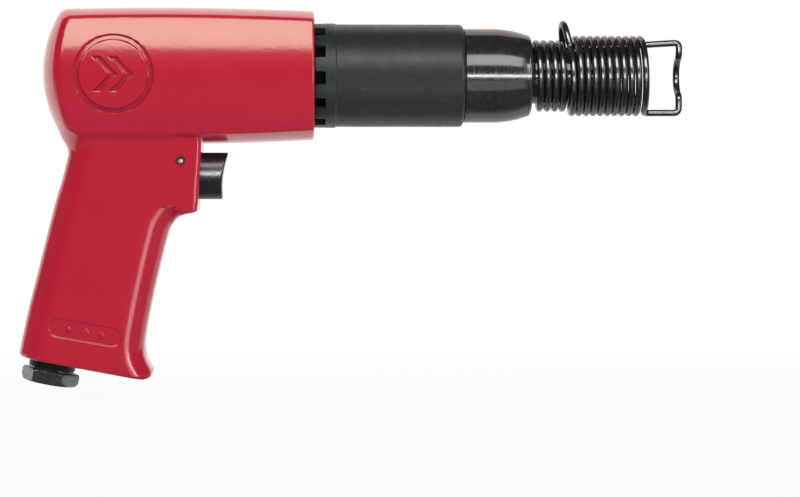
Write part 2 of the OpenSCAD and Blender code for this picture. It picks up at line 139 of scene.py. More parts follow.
def curve_through(points, steps=6):
    """A smooth curve through points, as a list of points."""
    p = [np.array(q, float) for q in points]
    p = [2 * p[0] - p[1]] + p + [2 * p[-1] - p[-2]]
    out = []
    for a, b, c, d in zip(p, p[1:], p[2:], p[3:]):
        for i in range(steps):
            t = i / steps
            out.append(0.5 * (2 * b + (c - a) * t + (2 * a - 5 * b + 4 * c - d) * t**2
                              + (3 * b - 3 * c + d - a) * t**3))
    out.append(p[-2])
    return [tuple(q) for q in out]


# ---------------------------------------------------------------- meshing

SETTLE_ROUNDS = 5
WELD = 1e-6


def walls_of(solid, p):
    """Every wall's distance at p, one column each; the solid is inside all of them."""
    walls = solid(p)
    return np.stack(walls, 1) if isinstance(walls, (list, tuple)) else walls[:, None]


def settle(solid, p, cell):
    """Moves points onto the solid's surface, and onto the edge where two walls are near."""
    eps = 0.02
    for _ in range(SETTLE_ROUNDS):
        w = walls_of(solid, p)
        grad = np.stack([(walls_of(solid, p + d) - walls_of(solid, p - d)) / (2 * eps)
                         for d in eps * np.eye(3)], 2)
        near = (w.max(1, keepdims=True) - w) < 0.55 * cell
        active = near & (np.abs(w) < 0.8 * cell)
        active[np.arange(len(p)), w.argmax(1)] = True
        a = grad * active[:, :, None]
        g = a @ a.transpose(0, 2, 1) + np.eye(w.shape[1]) * 1e-3
        step = np.linalg.solve(g, (w * active)[:, :, None])
        move = -(a.transpose(0, 2, 1) @ step)[:, :, 0]
        size = np.linalg.norm(move, axis=1, keepdims=True)
        p = p + move * np.minimum(1, 0.6 * cell / np.maximum(size, 1e-9))
    return p


def grid_lines(lo, hi, cell, fine):
    """Grid stations from lo to hi, twice as close inside each fine range."""
    out, at = [], lo - 1.5 * cell
    while at < hi + 2 * cell:
        out.append(at)
        at += cell * (0.5 if any(a < at < b for a, b in fine) else 1)
    return np.array(out)


def sample(solid, axes, block=8):
    """The solid's distance on a grid, worked out in full only in blocks near its surface."""
    field = np.empty([len(a) for a in axes], np.float32)
    starts = [np.arange(0, len(a), block) for a in axes]
    ends = [np.minimum(s + block, len(a)) for s, a in zip(starts, axes)]
    middle = [(a[s] + a[e - 1]) / 2 for s, e, a in zip(starts, ends, axes)]
    half = [(a[e - 1] - a[s]) / 2 for s, e, a in zip(starts, ends, axes)]
    centres = np.stack([g.ravel() for g in np.meshgrid(*middle, indexing="ij")], 1)
    reach = length(*[g.ravel() for g in np.meshgrid(*half, indexing="ij")]) * 1.2 + 1
    value = walls_of(solid, centres).max(1)
    spans = [(slice(starts[0][i], ends[0][i]), slice(starts[1][j], ends[1][j]),
              slice(starts[2][k], ends[2][k])) for i in range(len(starts[0]))
             for j in range(len(starts[1])) for k in range(len(starts[2]))]
    close = np.abs(value) < reach
    for far in np.flatnonzero(~close):
        field[spans[far]] = value[far]
    close = np.flatnonzero(close)
    for first in range(0, len(close), 200):
        batch = [spans[k] for k in close[first:first + 200]]
        grids = [np.meshgrid(*[a[s] for a, s in zip(axes, span)], indexing="ij") for span in batch]
        points = np.concatenate([np.stack([g.ravel() for g in grid], 1) for grid in grids])
        distance, at = walls_of(solid, points).max(1), 0
        for span, grid in zip(batch, grids):
            size = grid[0].size
            field[span] = distance[at:at + size].reshape(grid[0].shape)
            at += size
    return field


def skin(solid, lo, hi, cell, fine):
    """Quads on the solid's surface: (points in mm, faces).

    Each grid cell that the surface cuts gets one point, and each grid edge that it cuts gets
    the face between the four cells round that edge.
    """
    axes = [grid_lines(a, b, cell, f) for a, b, f in zip(lo, hi, fine)]
    shape = [len(a) for a in axes]
    field = sample(solid, axes)
    inside = field < 0
    corners = [(i, j, k) for i in (0, 1) for j in (0, 1) for k in (0, 1)]

    def at(grid, c):
        return grid[tuple(slice(o, n - 1 + o) for o, n in zip(c, shape))]

    count = sum(at(inside, c).astype(np.int8) for c in corners)
    cells = np.argwhere((count > 0) & (count < 8))
    index = np.full([n - 1 for n in shape], -1, np.int64)
    index[tuple(cells.T)] = np.arange(len(cells))
    total = np.zeros((len(cells), 3))
    hits = np.zeros(len(cells))
    for c in corners:
        for axis in range(3):
            if c[axis]:
                continue
            d = list(c)
            d[axis] = 1
            a = field[tuple((cells + c).T)]
            b = field[tuple((cells + d).T)]
            cut = (a < 0) != (b < 0)
            t = np.where(cut, a / np.where(cut, a - b, 1), 0)
            q = np.array(c, float) + np.outer(t, np.eye(3)[axis])
            total += q * cut[:, None]
            hits += cut
    spot = cells + total / hits[:, None]
    points = np.stack([np.interp(s, np.arange(len(a)), a) for s, a in zip(spot.T, axes)], 1)
    local = np.max([np.diff(a)[c] for a, c in zip(axes, cells.T)], 0)[:, None]
    faces = []
    for axis in range(3):
        u, v = (axis + 1) % 3, (axis + 2) % 3
        lo_s = [slice(1, n - 1) for n in shape]
        lo_s[axis] = slice(0, shape[axis] - 1)
        hi_s = list(lo_s)
        hi_s[axis] = slice(1, shape[axis])
        a, b = inside[tuple(lo_s)], inside[tuple(hi_s)]
        edge = np.argwhere(a != b)
        out = a[tuple(edge.T)]
        base = edge + np.array([0 if i == axis else 1 for i in range(3)])
        quad = []
        for du, dv in ((-1, -1), (0, -1), (0, 0), (-1, 0)):
            q = base.copy()
            q[:, u] += du
            q[:, v] += dv
            quad.append(index[tuple(q.T)])
        quad = np.stack(quad, 1)
        quad[~out] = quad[~out][:, ::-1]
        faces.append(quad)
    return settle(solid, points, local), np.concatenate(faces)


def mesh_object(name, points, faces, material, sharp):
    """An object from points in mm. Edges sharper than an angle in degrees shade as edges."""
    mesh = bpy.data.meshes.new(name)
    faces = np.asarray(faces)
    mesh.vertices.add(len(points))
    mesh.vertices.foreach_set("co", (np.asarray(points) * MM).astype(np.float32).ravel())
    mesh.loops.add(faces.size)
    mesh.loops.foreach_set("vertex_index", faces.ravel().astype(np.int32))
    mesh.polygons.add(len(faces))
    starts = np.arange(0, faces.size, faces.shape[1], dtype=np.int32)
    mesh.polygons.foreach_set("loop_start", starts)
    mesh.update(calc_edges=True)
    weld = bmesh.new()
    weld.from_mesh(mesh)
    bmesh.ops.remove_doubles(weld, verts=weld.verts, dist=WELD)
    weld.to_mesh(mesh)
    weld.free()
    mesh.validate()
    mesh.shade_smooth()
    mesh.set_sharp_from_angle(angle=math.radians(sharp))
    obj = bpy.data.objects.new(name, mesh)
    bpy.context.scene.collection.objects.link(obj)
    mesh.materials.append(material)
    return obj


def sculpt(name, solid, lo, hi, cell, material, sharp, fine=((), (), ())):
    """An object whose surface is the solid's, meshed on a grid of cells."""
    points, faces = skin(solid, lo, hi, cell, fine)
    return mesh_object(name, points, faces, material, sharp)


def loop_quads(rows, columns, closed_rows=False):
    """Quads of a grid of points whose columns close on themselves."""
    i, j = np.meshgrid(np.arange(rows if closed_rows else rows - 1), np.arange(columns),
                       indexing="ij")
    i, j = i.ravel(), j.ravel()
    i1, j1 = (i + 1) % rows, (j + 1) % columns
    return np.stack([i * columns + j, i * columns + j1, i1 * columns + j1, i1 * columns + j], 1)


def lathe(name, profile, material, steps, shift=None):
    """A closed profile of points (radius, x) turned round the hammer axis.

    shift(profile, angle) may move the profile at an angle, in degrees from the top.
    """
    profile = np.array(profile, float)
    angles = np.arange(steps) * 360 / steps
    rows = []
    for a in angles:
        r, x = (shift(profile, a) if shift else profile).T
        t = math.radians(a)
        rows.append(np.stack([x, -r * math.sin(t), r * math.cos(t)], 1))
    quads = loop_quads(steps, len(profile), closed_rows=True)
    return mesh_object(name, np.concatenate(rows), quads, material, 30)


def arc(cx, cy, r, a0, a1, n=8):
    """Points on an arc, angles in degrees."""
    return [(cx + r * math.cos(t), cy + r * math.sin(t))
            for t in np.radians(np.linspace(a0, a1, n + 1))]


def bow(a, b, sag, n=16):
    """Points on a shallow curve that stands sag off the chord from a to b, to its left."""
    a, b = np.array(a, float), np.array(b, float)
    d = b - a
    side = np.array([-d[1], d[0]]) / np.linalg.norm(d)
    return [tuple(a + d * t + side * sag * 4 * t * (1 - t)) for t in np.linspace(0, 1, n + 1)]


# ---------------------------------------------------------------- materials


def srgb(r, g, b):
    """A colour given as 0 to 255 in sRGB, turned into linear values and an alpha of 1."""
    return tuple(c / 12.92 if c <= 0.04045 else ((c + 0.055) / 1.055) ** 2.4
                 for c in (r / 255, g / 255, b / 255)) + (1.0,)


class Material:
    """A node material that is built up a layer at a time."""

    def __init__(self, name, color, rough, metallic=0.0, **inputs):
        self.mat = bpy.data.materials.new(name)
        self.mat.use_nodes = True
        self.tree = self.mat.node_tree
        self.bsdf = self.tree.nodes["Principled BSDF"]
        self.mat.diffuse_color = color
        self.set("Base Color", color)
        self.set("Roughness", rough)
        self.set("Metallic", metallic)
        for key, value in inputs.items():
            self.set(key.replace("_", " "), value)
        self.color = self.value(color)
        self.coords = self.node("ShaderNodeTexCoord").outputs["Object"]
        self.normal = None

    def set(self, socket, value):
        self.bsdf.inputs[socket].default_value = value

    def node(self, kind, **settings):
        n = self.tree.nodes.new(kind)
        for key, value in settings.items():
            setattr(n, key, value)
        return n

    def link(self, a, b):
        self.tree.links.new(a, b)

    def value(self, color):
        n = self.node("ShaderNodeRGB")
        n.outputs[0].default_value = color
        return n.outputs[0]

    def noise(self, scale, detail, stretch=(1, 1, 1)):
        """Noise with scale features to a metre, closer together along a stretched axis."""
        mapping = self.node("ShaderNodeMapping")
        mapping.inputs["Scale"].default_value = stretch
        self.link(self.coords, mapping.inputs["Vector"])
        n = self.node("ShaderNodeTexNoise")
        n.inputs["Scale"].default_value = scale
        n.inputs["Detail"].default_value = detail
        self.link(mapping.outputs[0], n.inputs["Vector"])
        return n.outputs[0]

    def along(self, axis):
        """A point's position along an axis, in metres."""
        n = self.node("ShaderNodeSeparateXYZ")
        self.link(self.coords, n.inputs[0])
        return n.outputs[axis]

    def ramp(self, source, lo, hi, out_lo=0.0, out_hi=1.0):
        n = self.node("ShaderNodeMapRange")
        for key, v in (("From Min", lo), ("From Max", hi), ("To Min", out_lo), ("To Max", out_hi)):
            n.inputs[key].default_value = v
        self.link(source, n.inputs["Value"])
        return n.outputs[0]

    def tint(self, mask, color):
        """Mixes a colour in where the mask is 1."""
        n = self.node("ShaderNodeMix", data_type="RGBA")
        self.link(mask, n.inputs["Factor"])
        self.link(self.color, n.inputs[6])
        n.inputs[7].default_value = color
        self.color = n.outputs[2]
        self.link(self.color, self.bsdf.inputs["Base Color"])
        return self

    def roughness(self, mask, lo, hi):
        self.link(self.ramp(mask, 0.3, 0.7, lo, hi), self.bsdf.inputs["Roughness"])
        return self

    def bump(self, height, depth_mm, coat=False):
        """Lets a height from 0 to 1 stand out by depth_mm."""
        n = self.node("ShaderNodeBump")
        n.inputs["Distance"].default_value = depth_mm * MM
        self.link(height, n.inputs["Height"])
        if self.normal is not None:
            self.link(self.normal, n.inputs["Normal"])
        self.normal = n.outputs[0]
        self.link(self.normal, self.bsdf.inputs["Normal"])
        if coat:
            self.link(self.normal, self.bsdf.inputs["Coat Normal"])
        return self


def red_paint():
    m = Material("red_paint", srgb(164, 14, 43), 0.4, Specular_IOR_Level=0.08,
                 Coat_Weight=1.0, Coat_Roughness=0.17, Coat_IOR=1.66)
    m.tint(m.ramp(m.noise(60, 3), 0.45, 0.75, 0, 0.12), srgb(192, 38, 58))
    m.tint(m.ramp(m.noise(5000, 1), 0.64, 0.8, 0, 0.2), srgb(205, 72, 80))
    m.bump(m.noise(700, 1.5), 0.03, coat=True)
    m.bump(m.noise(2200, 1), 0.009, coat=True)
    return m.mat


def black_rubber():
    m = Material("sleeve_rubber", srgb(38, 43, 43), 0.36, Specular_IOR_Level=0.38)
    m.tint(m.ramp(m.noise(2200, 2), 0.66, 0.74), srgb(80, 82, 80))
    m.tint(m.ramp(m.noise(90, 4), 0.5, 0.8, 0, 0.35), srgb(52, 56, 56))
    m.roughness(m.noise(300, 3), 0.32, 0.44)
    m.bump(m.noise(2600, 2), 0.012)
    return m.mat


def polished_steel():
    """Oiled black steel, turned; matt where the sleeve covers it, and painted darker there as
    shade.
    """
    m = Material("dark_steel", srgb(27, 32, 32), 0.14, IOR=1.75)
    rings = m.noise(500, 3, stretch=(5, 0.15, 0.15))
    under_sleeve_shade = m.ramp(m.along(0), (SLEEVE_FRONT - 0.1) * MM, (SLEEVE_FRONT - 0.4) * MM)
    m.tint(m.ramp(m.noise(70, 4), 0.45, 0.75, 0, 0.5), srgb(42, 45, 45))
    m.tint(m.ramp(m.noise(420, 5), 0.45, 0.7, 0, 0.6), srgb(52, 46, 40))
    # Painted shade: the steel is painted near black where the barrel runs under the sleeve.
    m.tint(under_sleeve_shade, srgb(10, 11, 11))
    rough = m.node("ShaderNodeMath", operation="ADD")
    m.link(m.ramp(rings, 0.3, 0.7, 0.1, 0.2), rough.inputs[0])
    m.link(m.ramp(under_sleeve_shade, 0, 1, 0, 0.6), rough.inputs[1])
    m.link(rough.outputs[0], m.bsdf.inputs["Roughness"])
    m.link(m.ramp(under_sleeve_shade, 0, 1, 0.5, 0.03), m.bsdf.inputs["Specular IOR Level"])
    m.bump(rings, 0.001)
    m.bump(m.noise(1500, 2), 0.0022)
    return m.mat


def black_wire():
    m = Material("black_wire", srgb(22, 25, 26), 0.2, IOR=1.7)
    m.tint(m.ramp(m.noise(150, 4), 0.55, 0.75, 0, 0.5), srgb(36, 38, 38))
    m.roughness(m.noise(400, 2), 0.16, 0.26)
    m.bump(m.noise(900, 1), 0.0015)
    return m.mat


def bright_steel():
    m = Material("bright_steel", srgb(190, 190, 192), 0.25, 1.0)
    m.roughness(m.noise(600, 3, stretch=(6, 0.2, 0.2)), 0.16, 0.34)
    m.tint(m.ramp(m.noise(120, 4), 0.5, 0.8, 0, 0.4), srgb(150, 148, 146))
    m.bump(m.noise(2000, 2), 0.001)
    return m.mat


def black_oxide():
    m = Material("black_oxide", srgb(112, 117, 117), 0.3, 0.9)
    m.tint(m.ramp(m.noise(400, 4), 0.5, 0.7, 0, 0.6), srgb(88, 90, 88))
    m.roughness(m.noise(900, 3), 0.24, 0.38)
    m.bump(m.noise(1500, 3), 0.008)
    return m.mat


def brass():
    m = Material("brass", srgb(208, 172, 96), 0.28, 1.0)
    m.tint(m.ramp(m.noise(200, 4), 0.5, 0.8, 0, 0.5), srgb(160, 120, 62))
    m.roughness(m.noise(800, 2, stretch=(5, 0.3, 0.3)), 0.2, 0.4)
    m.bump(m.noise(2200, 2), 0.002)
    return m.mat


def nitrile():
    m = Material("nitrile", srgb(22, 23, 24), 0.45)
    m.tint(m.ramp(m.noise(500, 3), 0.6, 0.75, 0, 0.5), srgb(48, 48, 48))
    m.bump(m.noise(1800, 3), 0.006)
    return m.mat


def fibre():
    m = Material("gasket", srgb(92, 88, 76), 0.85)
    m.tint(m.ramp(m.noise(900, 4), 0.45, 0.65), srgb(60, 58, 50))
    m.bump(m.noise(1200, 4), 0.03)
    return m.mat


def trigger_plastic():
    m = Material("trigger_plastic", srgb(24, 27, 28), 0.26, Specular_IOR_Level=0.8)
    m.tint(m.ramp(m.noise(700, 3), 0.6, 0.75, 0, 0.5), srgb(46, 48, 48))
    m.roughness(m.noise(400, 3), 0.2, 0.3)
    m.bump(m.noise(1600, 2), 0.006)
    return m.mat


MATERIALS = {
    "red_paint": red_paint(), "dark_steel": polished_steel(), "sleeve_rubber": black_rubber(),
    "black_wire": black_wire(), "bright_steel": bright_steel(), "gasket": fibre(),
    "nitrile": nitrile(), "trigger_plastic": trigger_plastic(), "brass": brass(),
    "black_oxide": black_oxide(),
}
SLOT_OF = {s["node"]: s["material_slot"] for s in frame["record"]["subparts"]}
BODY_OF = {n: b for b, nodes in frame["record"]["behaviour"]["bodies"].items() for n in nodes}

for node_name, cad in frame["nodes"].items():
    cad.data.materials.clear()
    cad.data.materials.append(MATERIALS[SLOT_OF[node_name]])


def stand_for(obj, node):
    """obj is shown in place of a CAD node and moves with its body."""
    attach(obj, BODY_OF[node])
    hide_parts(node)
    return obj


# ---------------------------------------------------------------- housing

AXIS_TILT = math.radians(10.8)
INLET = np.array([-209.1, 0, -116.9])
UP_GRIP = np.array([math.sin(AXIS_TILT), 0, math.cos(AXIS_TILT)])
GRIP_FACE = 8.7

# The casing: half its width, where it ends, and the radii of its bulged walls.
HALF_W = 23.5
FRONT_X, BACK_X = cad_box("housing")[1][0], -210.5
CROWN_Z, SOLE_Z, DOME_Z = 25.6, -26.0, 0.8
TALLEST_X, TAPER_LENGTH, CROWN_DROP, SOLE_RISE = -165, 57, 1.2, 1.5
SIDE_R, CAP_R, DOME_R = 50, 48.8, 44

# The grip: its flanks, its rounded back and the sloped strap down its front.
GRIP_HALF_W, FLANK_BULGE, GRIP_BACK_R = 16.0, 0.25, 11.0
GRIP_REAR_X, GRIP_REAR_Z, GRIP_LEAN, GRIP_DEPTH = -201.3, -33.6, 0.266, 46
STRAP_DEPTH, STRAP_TOP_Z, STRAP_START_X = 6.3, -47.5, -156.5
TOE_X, TOE_Z = -170.2, -114.1

# The holes in the casting.
BORE_R, BORE_END = 16.55, cad_box("valve_gasket")[0][0] - 0.04
EXHAUST_R, EXHAUST_END = 12, -200
POCKET_GAP, POCKET_END = 0.15, -168.0
THROTTLE_BORE_R, THROTTLE_BORE_END = 7.04, -180.94
CHAMBER_R, CHAMBER_END = 6.0, -196.5
PIN_HOLE_R, PIN_MOUTH_R, PIN_MOUTH_Y = 1.52, 1.85, 15.0
INLET_HOLE_R, INLET_HOLE_DEPTH = 7.94, 22.04
AIR_WAY_R, AIR_WAY_START, AIR_WAY_END = 4.5, 3, 78.3
DUCT_R, DUCT_X, DUCT_Z, DUCT_HALF = 2.6, -175.9, -24, 14

# The grip's outline in the side view, (x, z): down its back, up its front, up the block.
GRIP_REAR = [(-198, -6), (-199.5, -18), (-200.6, -28), (-203.2, -39), (-206.2, -49),
             (-212.3, -73), (-216.4, -89), (-219.7, -104.5), (-221.4, -113), (-222.9, -122)]
TOE = [(-166.5, -122), (-167.8, -116), (-169, -113), (-170.9, -109.5), (-172.1, -106.8),
       (-172.6, -103.5), (-172.5, -100.3), (-171.8, -96), (-169.6, -85.2), (-166.3, -71),
       (-163.2, -59.2), (-161.4, -55.8), (-159.7, -53.8), (-157, -52.6), (-153.6, -51.9)]
BLOCK_FRONT = [(-152.1, -51.2), (-151.6, -46), (-150.6, -29), (-150.2, -14), (-150.2, -6)]
GRIP_OUTLINE = curve_through(GRIP_REAR, 4) + curve_through(TOE, 4) + BLOCK_FRONT
GRID = 0.25
GRID_X, GRID_Z = np.arange(-235, -135, GRID), np.arange(-130, 40, GRID)
GRIP_DISTANCE = outline_distance(
    *[g.ravel() for g in np.meshgrid(GRID_X, GRID_Z, indexing="ij")],
    GRIP_OUTLINE).reshape(len(GRID_X), len(GRID_Z))


def grip_distance(x, z):
    """Distance to the grip's outline, read off a grid."""
    i = np.clip((x - GRID_X[0]) / GRID, 0, len(GRID_X) - 1.001)
    k = np.clip((z - GRID_Z[0]) / GRID, 0, len(GRID_Z) - 1.001)
    i0, k0 = i.astype(int), k.astype(int)
    u, v = i - i0, k - k0
    return (mix(mix(GRIP_DISTANCE[i0, k0], GRIP_DISTANCE[i0 + 1, k0], u),
                mix(GRIP_DISTANCE[i0, k0 + 1], GRIP_DISTANCE[i0 + 1, k0 + 1], u), v)
            + np.maximum(x - GRID_X[-1], 0))


EMBLEM_X, EMBLEM_Z, EMBLEM_R = -182.8, -0.1, 15.0
RING_HALF, CHEVRON_HALF, CHEVRON_HEIGHT, CHEVRON_SLANT = 1.2, 1.15, 6.6, 0.95
PILL_X, PILL_Z, PILL_HALF, PILL_R = -194.1, -96.7, 10.2, 3.7
PILL_TILT = math.radians(-10.2)
EDGE = 0.45


def casing(p):
    """Bulged sides, top, bottom and back, meeting in tight rounded edges."""
    x, y, z = p.T
    taper = ((x - TALLEST_X) / TAPER_LENGTH) ** 2
    top = CROWN_Z - CROWN_DROP * taper
    low = SOLE_Z + SOLE_RISE * taper
    sides = length(np.abs(y) + SIDE_R - HALF_W, z) - SIDE_R
    roof = length(y, z - (top - CAP_R)) - CAP_R
    sole = length(y, z - (low + CAP_R)) - CAP_R
    dome = length(np.minimum(x - BACK_X - DOME_R, 0), y, z - DOME_Z) - DOME_R
    tube = round_and(np.maximum(roof, sole), sides, 0.7)
    shell = round_and(tube, dome, 2.0)
    return round_and(shell, x - FRONT_X, 1.0)


def grip(p):
    """Flat flanks, a rounded back and a sloped front strap that leaves the flanks in a crease."""
    x, y, z = p.T
    d = grip_distance(x, z)
    across = np.clip(((x - GRIP_REAR_X) - GRIP_LEAN * (z - GRIP_REAR_Z)) / GRIP_DEPTH, 0, 1)
    flank = np.abs(y) - (GRIP_HALF_W - FLANK_BULGE * (2 * across - 1) ** 2)
    back = round_and(d, flank, GRIP_BACK_R)
    # The strap fades in below the trigger block, and deepens away from it.
    depth = STRAP_DEPTH * smooth((STRAP_START_X - x) / 6.5)
    slope = 0.72 * (d + depth) + 0.694 * flank
    below = smooth((STRAP_TOP_Z - z) / 2.5) * smooth((STRAP_START_X + 1.5 - x) / 3)
    strap = mix(d, round_and(slope, d, 2.0), below)
    front = round_and(strap, flank, mix(2.4, 2.1, smooth((STRAP_TOP_Z + 2.5 - z) / 3)))
    body = mix(back, front, smooth(across * 2 - 0.5))
    bottom = GRIP_FACE - (p - INLET) @ UP_GRIP
    toe = 0.738 * (x - TOE_X) - 0.675 * (z - TOE_Z)
    return round_and(round_and(body, bottom, 1.6), toe, 2.0)


def emblem_depth(x, z):
    """How deep the emblem and the oil mark are sunk, in mm."""
    u, v = x - EMBLEM_X, z - EMBLEM_Z
    ring = np.abs(length(u, v) - EMBLEM_R + RING_HALF) - RING_HALF
    depth = 1.15 * smooth(-ring / EDGE)
    # Two chevrons that point the way the hammer strikes.
    for tip in (0.0, 6.0):
        arm = np.abs(u - tip + CHEVRON_SLANT * np.abs(v)) / math.hypot(1, CHEVRON_SLANT)
        arm = np.maximum(arm - CHEVRON_HALF, np.abs(v) - CHEVRON_HEIGHT)
        depth = np.maximum(depth, 1.1 * smooth(-arm / EDGE))
    # A sunk pill low on the grip, with three raised oil drops.
    u, v = x - PILL_X, z - PILL_Z
    c, s = math.cos(PILL_TILT), math.sin(PILL_TILT)
    u, v = u * c + v * s, v * c - u * s
    pill = length(np.maximum(np.abs(u) - PILL_HALF, 0), v) - PILL_R
    sunk = 0.45 * smooth(-pill / EDGE)
    for drop_x, size in ((-6.2, 0.85), (0.0, 1.15), (6.2, 0.85)):
        a, b = (u - drop_x) / size, (v + 0.35) / size
        drop = np.minimum(length(a, b) - 1.15, np.maximum(np.abs(a) * 1.15 + b - 2.0, -b))
        sunk = sunk - 0.43 * smooth(-drop / 0.35) * (pill < -0.5)
    return depth + sunk


TRIGGER_HALF_W, TRIGGER_HALF_H, TRIGGER_SIDE_R = 7.5, 8.9, 10.5


def trigger_section(p, gap):
    """The trigger's section: bulged sides between a flat top and bottom."""
    _, y, z = p.T
    h = z - THROTTLE_Z
    side = length(np.abs(y) + (TRIGGER_SIDE_R - TRIGGER_HALF_W), h - 0.9) - TRIGGER_SIDE_R - gap
    return round_and(side, np.abs(h) - TRIGGER_HALF_H - gap, 0.5)


def housing_walls(p):
    """The outside of the casting, then each hole in it turned inside out."""
    x, y, z = p.T
    # The fillet between casing and grip is full at the back and tight at the block's front.
    fillet = mix(mix(6.5, 3.0, smooth((x + 200) / 12)), 0.8, smooth((x + 163) / 8))
    outside = round_or(casing(p), grip(p), fillet)
    outside = outside + emblem_depth(x, z) * (np.abs(y) > 12)
    inlet = p - INLET
    rise = inlet @ UP_GRIP
    off = np.linalg.norm(inlet - rise[:, None] * UP_GRIP, axis=1)
    pin = length(x - PIN_X, z - PIN_Z)
    pin_mouth = np.maximum(pin - PIN_MOUTH_R, PIN_MOUTH_Y - np.abs(y))
    air_way = np.maximum(off - AIR_WAY_R, np.maximum(rise - AIR_WAY_END, AIR_WAY_START - rise))
    return [
        outside,
        -np.maximum(length(y, z) - BORE_R, BORE_END - x),
        -np.maximum(length(y, z) - EXHAUST_R, EXHAUST_END - x),
        -np.maximum(trigger_section(p, POCKET_GAP), POCKET_END - x),
        -rod_x(p, THROTTLE_BORE_R, THROTTLE_BORE_END, POCKET_END + 8, THROTTLE_Z),
        -rod_x(p, CHAMBER_R, CHAMBER_END, POCKET_END - 7, THROTTLE_Z),
        -np.minimum(pin - PIN_HOLE_R, pin_mouth),
        -np.maximum(off - INLET_HOLE_R, rise - INLET_HOLE_DEPTH),
        -air_way,
        -np.maximum(length(x - DUCT_X, y) - DUCT_R, np.abs(z - DUCT_Z) - DUCT_HALF),
    ]


# The grid is finer round the emblem and the pill.
FINE = ([(EMBLEM_X - 16.5, EMBLEM_X + 16.5), (PILL_X - 13, PILL_X + 13)], [],
        [(EMBLEM_Z - 16.5, EMBLEM_Z + 16.5), (PILL_Z - 6, PILL_Z + 6)])
lo, hi = cad_box("housing")
housing = sculpt("housing_casting", housing_walls, lo - 1, hi + 1, 0.5,
                 MATERIALS["red_paint"], sharp=38, fine=FINE)
stand_for(housing, "housing")


# ---------------------------------------------------------------- barrel, sleeve, retainer

BODY_R, FRONT_R, NOSE_R, SHANK_R, PISTON_R = 16.5, 17.9, 11.1, 5.15, 9.525
BARREL_REAR, SHOULDER_X = cad_box("barrel")[0][0], -25.6
REAR_THREAD_END, REAR_PITCH, REAR_DEPTH = -139, 1.5, 0.6
SEAL_GROOVE_REAR, SEAL_GROOVE_FRONT, SEAL_GROOVE_DEPTH = -113.2, -111, 2
SHANK_END, SMALL_PITCH, NOSE_GROOVE = -35, 2.9, 0.5


def threaded(r, x0, x1, pitch, depth):
    """Points of a thread's ridges along a wall of radius r, as rings without a lead."""
    out = []
    for k in range(int((x1 - x0) / pitch)):
        x = x0 + k * pitch
        out += [(r, x), (r - depth, x + 0.45 * pitch), (r - depth, x + 0.55 * pitch)]
    return out + [(r, x1)]


def barrel_profile():
    """Rear thread, seal groove, the bowed front with its shoulder, the nose and the bores."""
    groove_r = BODY_R - SEAL_GROOVE_DEPTH
    shoulder = (bow((FRONT_R, -40), (15.6, -26.8), -0.57, 24)
                + arc(14.2, -26.9, 1.4, 4, 90, 8))
    return ([(PISTON_R, BARREL_REAR), (BODY_R - 0.8, BARREL_REAR)]
            + threaded(BODY_R, BARREL_REAR + 0.8, REAR_THREAD_END, REAR_PITCH, REAR_DEPTH)
            + [(BODY_R, SEAL_GROOVE_REAR), (groove_r, SEAL_GROOVE_REAR + 0.1),
               (groove_r, SEAL_GROOVE_FRONT - 0.1), (BODY_R, SEAL_GROOVE_FRONT),
               (BODY_R, SLEEVE_FRONT), (FRONT_R - 0.5, SLEEVE_FRONT + 0.05)]
            + arc(FRONT_R - 0.5, SLEEVE_FRONT + 0.55, 0.5, -90, 0, 4)[1:]
            + shoulder
            + threaded(NOSE_R, SHOULDER_X, -1.6, SMALL_PITCH, NOSE_GROOVE)
            + arc(NOSE_R - 0.8, -0.8, 0.8, 0, 90, 4)
            + [(SHANK_R + 0.3, 0), (SHANK_R, -0.3), (SHANK_R, SHANK_END),
               (PISTON_R - 1, SHANK_END), (PISTON_R, SHANK_END - 1)])


barrel = lathe("barrel_body", barrel_profile()[::-1], MATERIALS["dark_steel"], 240)
stand_for(barrel, "barrel")

SLEEVE_R, COLLAR_R, LIP_R, SLEEVE_WALL = 19.5, 19.85, 1.8, 1.9
SLEEVE_REAR = FRONT_X + 0.04
SEAT_R, SEAT_END = BODY_R + 0.04, -72
NOTCHES, NOTCH_HALF_W, NOTCH_LEN, NOTCH_TURN = 12, 2.55, 4.2, 4


def notched(profile, angle):
    """Pulls the sleeve's rear end forward where an exhaust notch is."""
    pitch = 360 / NOTCHES
    off = (angle - NOTCH_TURN + pitch / 2) % pitch - pitch / 2
    if abs(math.sin(math.radians(off))) * COLLAR_R > NOTCH_HALF_W:
        return profile
    moved = profile.copy()
    floor_x = SLEEVE_REAR + NOTCH_LEN
    moved[:, 1] = np.where(profile[:, 1] < floor_x, floor_x, profile[:, 1])
    return moved


sleeve_profile = ([(SLEEVE_R - SLEEVE_WALL, SLEEVE_REAR), (COLLAR_R - 0.4, SLEEVE_REAR)]
                  + arc(COLLAR_R - 0.4, SLEEVE_REAR + 0.4, 0.4, -90, 0, 4)
                  + [(COLLAR_R, SLEEVE_REAR + 4.3), (COLLAR_R, SLEEVE_REAR + 7.8)]
                  + arc(COLLAR_R - 0.3, SLEEVE_REAR + 7.8, 0.3, 0, 60, 3)[1:]
                  + [(SLEEVE_R, SLEEVE_REAR + 8.4)]
                  + arc(SLEEVE_R - LIP_R, SLEEVE_FRONT - LIP_R, LIP_R, 0, 90, 10)
                  + [(SEAT_R, SLEEVE_FRONT), (SEAT_R, SEAT_END),
                     (SLEEVE_R - SLEEVE_WALL, SEAT_END - 2),
                     (SLEEVE_R - SLEEVE_WALL, SLEEVE_REAR + 4.3)])
sleeve = lathe("exhaust_sleeve_body", sleeve_profile[::-1], MATERIALS["sleeve_rubber"], 720,
               shift=notched)
stand_for(sleeve, "exhaust_sleeve")

